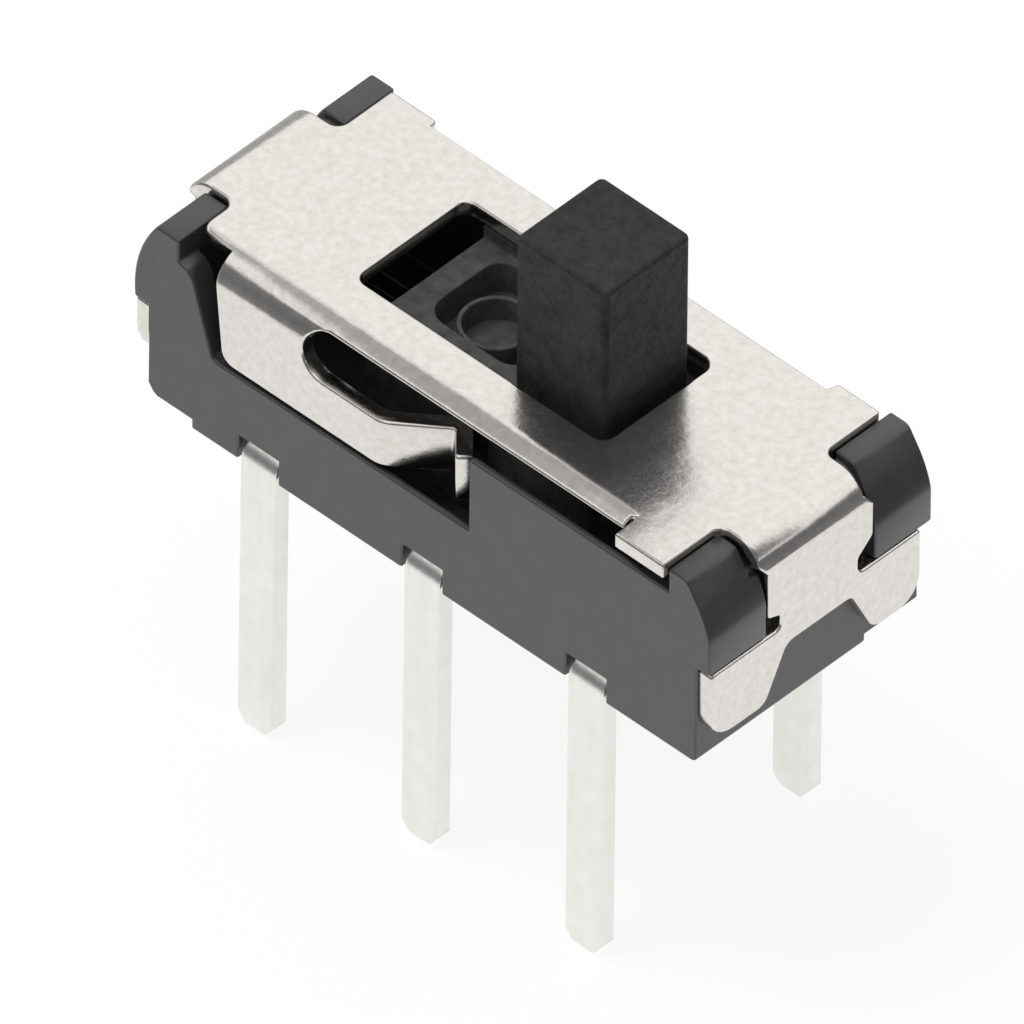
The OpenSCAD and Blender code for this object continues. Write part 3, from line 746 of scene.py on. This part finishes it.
def pin(node, x, side):
    """Path: out through the floor, a quarter turn and straight down to the pin's lowest point.
    The width steps from the pad's to the pin's, and narrows over the tip, where it is the pin's
    width times a share for each depth above the end."""
    end = -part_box(node)[0][2] / MM
    out = np.array([pad_in + 0.01, pad_in + 0.02, pad_out - 0.03, pad_out + 0.03, pad_out + 0.2,
                    pin_y - turn_r - 0.02])
    pad = np.column_stack([out, np.full(len(out), leg_z)])
    turn = arc(pin_y - turn_r, leg_z - turn_r, turn_r, 90, 0, 12)
    depth = np.concatenate([np.linspace(0.2, end - 0.3, 12), end - tip_down])
    shank = np.column_stack([np.full(len(depth), pin_y), -depth])
    path = np.vstack([pad, turn, shank])
    width = np.full(len(path), pin_w)
    width[:3] = 2 * pad_half
    width[-len(tip_down):] *= tip_width
    thickness = np.full(len(path), pin_t)
    thickness[-len(tip_down):] *= tip_thickness
    path[:, 0] *= side
    piece = strip(node + "_strip", path, width, thickness, "y", x)
    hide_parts(node)
    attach(piece, "housing")
    return piece


pins = [pin(f"pin_{row}_{column}", x, side)
        for row, side in (("near", -1), ("far", 1)) for column, x in columns.items()]
print(len(pins), "pins")

# %% [markdown]
# ## Contact springs
# Under the slider two thin bowed strips slide with it and join neighbouring pads. The bow presses
# up into the slider's pocket and the rolled feet press down on the pads. They hardly show, but
# without them the switch couldn't switch. The bow's radius follows from its span and its height.

# %% Size of a contact spring
spring_w, spring_t = 0.4, 0.08
foot_r = 0.09
foot_x = pitch / 2
air_gap = 0.005
foot_z = floor_top + foot_r + air_gap
crown_z = pocket_top - air_gap - spring_t / 2
rise = crown_z - foot_z
bow_r = (foot_x ** 2 + rise ** 2) / (2 * rise)
bow_half = np.degrees(np.arcsin(foot_x / bow_r))
print(f"the bow rises {rise:.2f} mm with a radius of {bow_r:.2f} mm")

# %% The two contact springs
spring_y = 0.65
bow_gap = 4
curl_start, curl_end = 60, -200


def contact(node, y):
    """Path: the left foot's curl, the bow over the middle pad and the right foot's curl. The curl
    is a circle just inside the foot's radius, and the bow stops a few degrees short of it."""
    bow = arc(rest_x, crown_z - bow_r, bow_r, 90 + bow_half - bow_gap, 90 - bow_half + bow_gap, 40)
    curl = arc(rest_x + foot_x, foot_z, foot_r - spring_t / 2, curl_start, curl_end, 20)
    path = np.vstack([(curl * [-1, 1] + [2 * rest_x, 0])[::-1], bow, curl])
    width, thickness = np.full(len(path), spring_w), np.full(len(path), spring_t)
    piece = strip(node + "_strip", path, width, thickness, "x", y)
    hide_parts(node)
    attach(piece, "slider")
    return piece


contacts = [contact("contact_near", -spring_y), contact("contact_far", spring_y)]
print(len(contacts), "contact springs")


# %% [markdown]
# ## Finishes
# Every finish is worked out from the piece's own coordinates in millimetres, so that the grain
# has its real size and stays on the piece when it moves. Colour, roughness and bump all vary a
# little, because no real surface is the same all over.

# %% Add and join nodes
def join(tree, socket, value):
    """Links another node's output to the socket, or sets it to a number or a colour."""
    if isinstance(value, bpy.types.NodeSocket):
        tree.links.new(value, socket)
    elif socket.type == "RGBA":
        socket.default_value = (*value, 1)
    else:
        socket.default_value = value


def add_node(tree, kind, inputs=None, **settings):
    """A new node with its settings and inputs."""
    node = tree.nodes.new(kind)
    for key, value in settings.items():
        setattr(node, key, value)
    for key, value in (inputs or {}).items():
        join(tree, node.inputs[key], value)
    return node


def new_material(name):
    """A new material. Returns it, its node tree and its shader."""
    made = bpy.data.materials.new(name)
    made.use_nodes = True
    return made, made.node_tree, made.node_tree.nodes["Principled BSDF"]


print(len(bpy.data.materials), "materials came with the model")


# %% A finish and its parts
class Finish:
    """A material with short calls for what finishes have in common."""

    def __init__(self, name, metallic=0.0):
        self.material, self.tree, self.shader = new_material(name)
        self.set("Metallic", metallic)
        metres = self.add("ShaderNodeTexCoord").outputs["Object"]
        scale = (1 / MM, 1 / MM, 1 / MM)
        self.mm = self.add("ShaderNodeMapping", {"Vector": metres, "Scale": scale}).outputs["Vector"]

    def add(self, kind, inputs=None, **settings):
        """A new node in this material."""
        return add_node(self.tree, kind, inputs, **settings)

    def set(self, name, value):
        """Sets or links one of the shader's own sockets."""
        join(self.tree, self.shader.inputs[name], value)

    def noise(self, per_mm, detail=3.0, rough=0.55, stretch=None):
        """Soft noise with about per_mm blots to the millimetre."""
        source = self.mm
        if stretch:
            source = self.add("ShaderNodeMapping", {"Vector": self.mm, "Scale": stretch}).outputs[0]
        node = self.add("ShaderNodeTexNoise", {"Vector": source, "Scale": per_mm, "Detail": detail,
                                               "Roughness": rough})
        return node.outputs["Fac"]

    def spread(self, value, low, high, from_low=0.3, from_high=0.7):
        """Rescales a value to run from low to high."""
        node = self.add("ShaderNodeMapRange", {"Value": value, "From Min": from_low,
                                               "From Max": from_high, "To Min": low, "To Max": high})
        return node.outputs["Result"]

    def blend(self, factor, first, second):
        """Mixes two colours: the first at factor 0 and the second at 1."""
        return self.add("ShaderNodeMix", {0: factor, 6: first, 7: second}, data_type="RGBA").outputs[2]

    def edges(self, radius):
        """Near 1 on edges and 0 on flats: how far a normal rounded over radius leans from the true
        one."""
        rounded = self.add("ShaderNodeBevel", {"Radius": radius * MM}, samples=4)
        true = self.add("ShaderNodeNewGeometry")
        dot = self.add("ShaderNodeVectorMath", {0: rounded.outputs[0], 1: true.outputs["Normal"]},
                       operation="DOT_PRODUCT")
        return self.spread(dot.outputs["Value"], 1.0, 0.0, 0.8, 0.99)

    def bump(self, *layers):
        """Stacks bump layers, each a height and its depth in mm."""
        normal = None
        for height, depth in layers:
            node = self.add("ShaderNodeBump", {"Height": height, "Strength": 1.0,
                                               "Distance": depth * MM})
            if normal:
                join(self.tree, node.inputs["Normal"], normal)
            normal = node.outputs["Normal"]
        self.set("Normal", normal)


def coat(pieces, material):
    """Gives the pieces the material and says so."""
    for piece in pieces:
        piece.data.materials.append(material)
    print("given its finish:", [piece.name for piece in pieces])


# %% [markdown]
# ## Steel cover's finish
# The sheet is rolled, stamped and then plated bright. It could be a plain mirror, but a real one
# is never quite even: rolling leaves soft waves, and plating leaves a fine mottle that blurs what
# it reflects. Edges are painted a little brighter, as a painted highlight.

# %% Plated steel
def plated_steel():
    """Bright plating over rolled sheet: a fine mottle, soft waves and edges painted brighter as a
    highlight.
    """
    steel = Finish("plated_steel", metallic=1.0)
    mottle = steel.noise(9, 4, 0.6)
    speck = steel.noise(30, 2, 0.5)
    wave = steel.noise(1.1, 2, 0.4)
    tint = steel.blend(steel.spread(mottle, 0, 1), (0.68, 0.655, 0.615), (0.80, 0.775, 0.74))
    # Painted highlight: edges blend to a brighter steel colour.
    steel.set("Base Color", steel.blend(steel.edges(0.05), tint, (0.84, 0.82, 0.79)))
    steel.set("Roughness", steel.spread(speck, 0.17, 0.25))
    steel.bump((wave, 0.02), (mottle, 0.0022), (speck, 0.0003))
    return steel.material


coat([cover], plated_steel())


# %% [markdown]
# ## Base's finish
# The moulding compound is dark grey and filled with glass, and the mould leaves a satin skin on
# it. One flat grey would look like paint, so the grey drifts slightly and the gloss has a grain.
# Edges are painted paler, a painted highlight along every edge.

# %% Base plastic
def base_plastic():
    """Dark grey moulding compound with a satin skin and edges painted paler as a highlight."""
    grey = Finish("base_plastic")
    grey.set("Specular IOR Level", 0.85)
    cloud = grey.noise(2.2, 4, 0.6)
    grain = grey.noise(28, 3, 0.6)
    tint = grey.blend(grey.spread(cloud, 0, 1), (0.037, 0.037, 0.038), (0.049, 0.049, 0.05))
    # Painted highlight: edges blend to a paler grey.
    grey.set("Base Color", grey.blend(grey.edges(0.04), tint, (0.085, 0.085, 0.086)))
    grey.set("Roughness", grey.spread(grain, 0.27, 0.38))
    grey.bump((grain, 0.0008), (cloud, 0.004))
    return grey.material


coat([base], base_plastic())


# %% [markdown]
# ## Slider's finish
# The slider's mould is spark-eroded, which gives it a fine matt texture. Below the cover the colour is
# painted paler: painted light that brightens the shaded top seen through the window, while the knob
# keeps the plain black. Two materials could be used, but one that reads the height above the board has
# no seam to hide.

# %% Slider plastic
def slider_plastic():
    """Near-black moulding with a fine texture, and painted paler below the cover as painted light."""
    black = Finish("slider_plastic")
    black.set("Specular IOR Level", 0.22)
    cloud = black.noise(5, 5, 0.7)
    grain = black.noise(22, 4, 0.65)
    height = black.add("ShaderNodeSeparateXYZ", {0: black.mm}).outputs["Z"]
    # Painted light: below the cover the colour blends to a paler grey, standing in for light on the
    # shaded top in the window.
    painted_light_mask = black.spread(height, 1, 0, slider_top + 0.02, slider_top + 0.2)
    plain_black = black.blend(black.spread(cloud, 0, 1), (0.018, 0.018, 0.0175), (0.052, 0.0515, 0.05))
    painted_light_below_cover = black.blend(black.spread(cloud, 0, 1), (0.05, 0.05, 0.0495), (0.125, 0.124, 0.122))
    tint = black.blend(painted_light_mask, plain_black, painted_light_below_cover)
    # Painted highlight: edges take one fixed grey, paler than the knob's black.
    black.set("Base Color", black.blend(black.edges(0.03), tint, (0.05, 0.05, 0.049)))
    black.set("Roughness", black.spread(grain, 0.4, 0.62))
    black.bump((grain, 0.004), (cloud, 0.01))
    return black.material


coat([slider], slider_plastic())


# %% [markdown]
# ## Pins' finish
# Brass pins are tinned so that solder takes to them. The tin is matt, and the drawing die leaves
# faint lines down the pin. Stretching the noise along the pin makes those lines without a picture.

# %% Tin plating
def tin_plating():
    """Matt tin over brass, with faint drawn lines down the pin."""
    tin = Finish("tin_plating", metallic=1.0)
    cloud = tin.noise(4, 3, 0.55)
    drawn = tin.noise(12, 2, 0.5, (1, 1, 0.06))
    tint = tin.blend(tin.spread(cloud, 0, 1), (0.86, 0.845, 0.8), (0.9, 0.895, 0.865))
    tin.set("Base Color", tin.blend(tin.edges(0.03), tint, (0.78, 0.765, 0.73)))
    tin.set("Roughness", tin.spread(drawn, 0.28, 0.38))
    tin.bump((drawn, 0.0012), (cloud, 0.0008))
    return tin.material


coat(pins, tin_plating())


# %% [markdown]
# ## Contact springs' finish
# Spring bronze is left bare, because plating would wear off where the feet slide. It is rolled
# strip like the cover's steel, so it gets the same kind of noise in a warmer metal.

# %% Spring bronze
def spring_bronze():
    """Rolled bronze strip with a warm sheen."""
    bronze = Finish("spring_bronze", metallic=1.0)
    cloud = bronze.noise(6, 3, 0.55)
    tint = bronze.blend(bronze.spread(cloud, 0, 1), (0.66, 0.54, 0.34), (0.76, 0.65, 0.45))
    bronze.set("Base Color", bronze.blend(bronze.edges(0.02), tint, (0.8, 0.7, 0.5)))
    bronze.set("Roughness", bronze.spread(cloud, 0.24, 0.38))
    bronze.bump((cloud, 0.002))
    return bronze.material


coat(contacts, spring_bronze())


# %% [markdown]
# ## Floor
# The switch stands on its pins over a white table. The table could be lit until it looks white,
# but that much light would bleach the plastic. Instead the eye and the mirrors see a plain white
# glow mixed with the lit table, which keeps the shadow.

# %% Helpers for the set
def panel(name, corners, material):
    """A single flat face of the set, from its corners in metres."""
    mesh = bpy.data.meshes.new(name)
    mesh.from_pydata(corners, [], [tuple(range(len(corners)))])
    mesh.materials.append(material)
    piece = piece_of(name, mesh)
    return piece


def dull(name, grey):
    """A matt material of one grey. Returns it, its node tree and its shader."""
    made, tree, shader = new_material(name)
    join(tree, shader.inputs["Base Color"], (grey, grey, grey))
    join(tree, shader.inputs["Roughness"], 0.9)
    return made, tree, shader


white_glow = 1.09


def white_to_eye(tree, shadow_part, shade):
    """Mixes a plain white glow with a share of the lit shader, for rays from the eye, a mirror or
    glass. All other rays meet the lit shader alone."""
    glow = add_node(tree, "ShaderNodeEmission", {"Strength": white_glow})
    path = add_node(tree, "ShaderNodeLightPath").outputs
    direct = add_node(tree, "ShaderNodeMath", {0: path["Is Camera Ray"], 1: path["Is Glossy Ray"]},
                      operation="MAXIMUM")
    seen = add_node(tree, "ShaderNodeMath", {0: direct.outputs[0], 1: path["Is Transmission Ray"]},
                    operation="MAXIMUM")
    part = add_node(tree, "ShaderNodeMath", {0: seen.outputs[0], 1: 1 - shadow_part},
                    operation="MULTIPLY")
    mix = add_node(tree, "ShaderNodeMixShader", {0: part.outputs[0], 1: shade, 2: glow.outputs[0]})
    return mix.outputs[0]


floor_z = cad_low[2]
print(f"the floor is {-floor_z / MM:.2f} mm below the board's face")

# %% White table
far = 0.6
table, tree, shader = dull("white_table", 0.95)
join(tree, shader.inputs["Specular IOR Level"], 0.0)
sight = white_to_eye(tree, 0.2, shader.outputs[0])
join(tree, tree.nodes["Material Output"].inputs["Surface"], sight)
panel("floor", [(-far, -far, floor_z), (far, -far, floor_z), (far, far, floor_z), (-far, far, floor_z)],
      table)
print(f"the table is {2 * far} m wide")


# %% [markdown]
# ## Light
# Light comes evenly from a white surround and softly from one large lamp overhead, a little to the
# left. More lamps would each leave a shadow of their own. The lamp is hidden from mirrors, so that
# no bright square lies in the steel.

# %% Surround
scene = bpy.context.scene
world = bpy.data.worlds.new("surround")
world.use_nodes = True
scene.world = world
tree = world.node_tree
sky = tree.nodes["Background"]
sky_light = 0.42
join(tree, sky.inputs["Color"], (1, 1, 1))
join(tree, sky.inputs["Strength"], sky_light)
join(tree, tree.nodes["World Output"].inputs["Surface"], white_to_eye(tree, 0.0, sky.outputs[0]))
print("the surround lights the switch at", sky_light)


# %% Lamp
def soft_lamp(name, place, size, power):
    """A square area lamp at place, turned to face the origin. Lengths are in metres and the power
    in watts."""
    data = bpy.data.lights.new(name, "AREA")
    data.size = size
    data.energy = power
    lamp = bpy.data.objects.new(name, data)
    lamp.location = place
    lamp.rotation_euler = Vector(place).to_track_quat("Z", "Y").to_euler()
    lamp.visible_glossy = False
    scene.collection.objects.link(lamp)
    return lamp


key = soft_lamp("key", (-0.025, -0.03, 0.105), 0.06, 0.042)
print(f"the lamp is {key.location.length / MM:.0f} mm away and {key.data.size / MM:.0f} mm wide")


# %% [markdown]
# ## Cards
# A mirror shows only what stands round it, so in an all-white room the folds of a shiny sheet
# vanish. Dull cards are set up as they would be for real metal: dark ones low round the near, right
# and far sides, pale ones on the left, and a grey one overhead that shades the start of the near
# fold. They are seen only in reflections and cast no shadow.

# %% Card materials
def card_of(name, grey, glow=0.0):
    """A dull card material, with a glow of its own if it is a lit card."""
    made, tree, shader = dull(name, grey)
    join(tree, shader.inputs["Emission Color"], (1, 1, 1))
    join(tree, shader.inputs["Emission Strength"], glow)
    return made


dark, pale = card_of("dark_card", 0.27), card_of("pale_card", 0.7)
lit = card_of("overhead_card", 0.4, 0.22)
print("cards:", dark.name, pale.name, lit.name)


# %% Cards round the set
def mirror_only(card):
    """Hides a card from the eye and from the light, so that only reflections show it."""
    card.visible_camera = False
    card.visible_shadow = False
    card.visible_diffuse = False


def ring_of_cards(name, material, start, end, sides, inner, low, outer, high):
    """Flat cards round the set from the start angle to the end angle in degrees. Each runs from
    radius inner at height low to radius outer at height high, all in metres."""
    turns = np.radians(np.linspace(start, end, sides + 1))
    for k, (a, b) in enumerate(zip(turns[:-1], turns[1:])):
        corners = [(r * cos(t), r * sin(t), z) for t, r, z in
                   ((a, inner, low), (b, inner, low), (b, outer, high), (a, outer, high))]
        mirror_only(panel(f"{name}_{k}", corners, material))
    print(f"{name}: {sides} cards over {end - start} degrees")


set_r, apron_r = 0.09, 0.015
apron_low, apron_high = floor_z + 0.0002, floor_z + 0.0004
ring_of_cards("apron", dark, -150, 95, 16, apron_r, apron_low, set_r, apron_high)
ring_of_cards("left_apron", pale, 95, 210, 8, apron_r, apron_low, set_r, apron_high)
ring_of_cards("near_card", dark, 200, 330, 9, set_r, floor_z, set_r, 0.05)
ring_of_cards("far_card", dark, -30, 95, 9, set_r, floor_z, set_r, 0.024)
ring_of_cards("left_card", pale, 95, 200, 7, set_r, floor_z, set_r, 0.033)
ring_of_cards("side_card", dark, -60, 28, 6, set_r, 0.033, 0.05, 0.09)

# %% Overhead card
card_z = 0.08
card_left, card_right = -0.07, -0.018
card_near, card_far = -0.07, 0.022
overhead = panel("overhead_card", [(card_left, card_near, card_z), (card_right, card_near, card_z),
                                   (card_right, card_far, card_z), (card_left, card_far, card_z)], lit)
mirror_only(overhead)
print(f"the overhead card hangs {card_z / MM:.0f} mm above the board's face")


# %% [markdown]
# ## Camera
# The camera looks down on the near side from the right. It has parallel sight lines, as a long
# lens far away would have, so lines that run the same way on the switch also do in the view. Its
# place is worked out from two angles, and a small lean and shift set the switch in the frame.

# %% Camera
azimuth, elevation, lean = radians(43.285), radians(43.354), radians(0.738)
view_width = 11.464
shift_across, shift_above = 0.2285, 0.1086
distance = 0.1
right = Vector((cos(azimuth), sin(azimuth), 0))
back = Vector((sin(azimuth) * cos(elevation), -cos(azimuth) * cos(elevation), sin(elevation)))
up = back.cross(right)
across = cos(lean) * right + sin(lean) * up
above = cos(lean) * up - sin(lean) * right
place = back * distance - across * shift_across * MM - above * shift_above * MM
data = bpy.data.cameras.new("camera")
data.type = "ORTHO"
data.ortho_scale = view_width * MM
data.clip_start = 0.001
data.clip_end = 5
camera = bpy.data.objects.new("camera", data)
camera.matrix_world = Matrix([[across[i], above[i], back[i], place[i]] for i in range(3)]
                             + [[0, 0, 0, 1]])
scene.collection.objects.link(camera)
scene.camera = camera
scene.view_settings.view_transform = "Standard"
print("camera looks from", np.round(back, 3))
